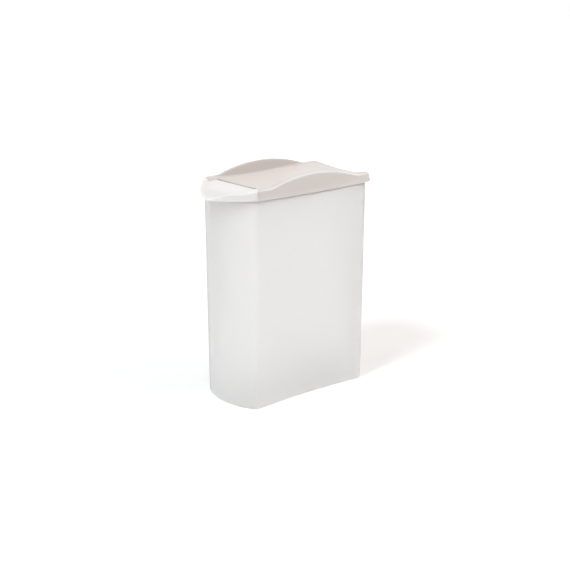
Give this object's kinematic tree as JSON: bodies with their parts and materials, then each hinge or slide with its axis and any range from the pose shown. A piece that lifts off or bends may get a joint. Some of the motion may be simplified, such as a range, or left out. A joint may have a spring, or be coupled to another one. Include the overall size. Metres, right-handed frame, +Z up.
{
  "type": "cereal container with flip spout",
  "caption": "Tall upright dry-food keeper: a tapered translucent container, a lift-off lid with arched sides and a pointed pour spout under a hinged flap.",
  "frame": {"origin": "middle of the container's foot, on the surface that it stands on", "axes": "+Z up, the spout points to -Y, +X along the hinge"},
  "size_m": [0.1236, 0.239, 0.302],
  "materials": {
    "container": "milky translucent moulded polypropylene, satin",
    "lid": "warm white moulded polypropylene, satin",
    "flip_spout": "warm white moulded polypropylene, satin"
  },
  "bodies": {
    "container": {"container": "container"},
    "lid": {"lid": "lid"},
    "flip_spout": {"flip_spout": "flip_spout"}
  },
  "joints": [
    {"name": "lid_lift", "type": "slide", "parent": "container", "child": "lid", "axis": [0, 0, 1], "range_m": [0, 0.06]},
    {"name": "spout_hinge", "type": "hinge", "parent": "lid", "child": "flip_spout", "pos_m": [0, -0.078, 0.2837], "axis": [-1, 0, 0], "range_deg": [0, 100]}
  ]
}
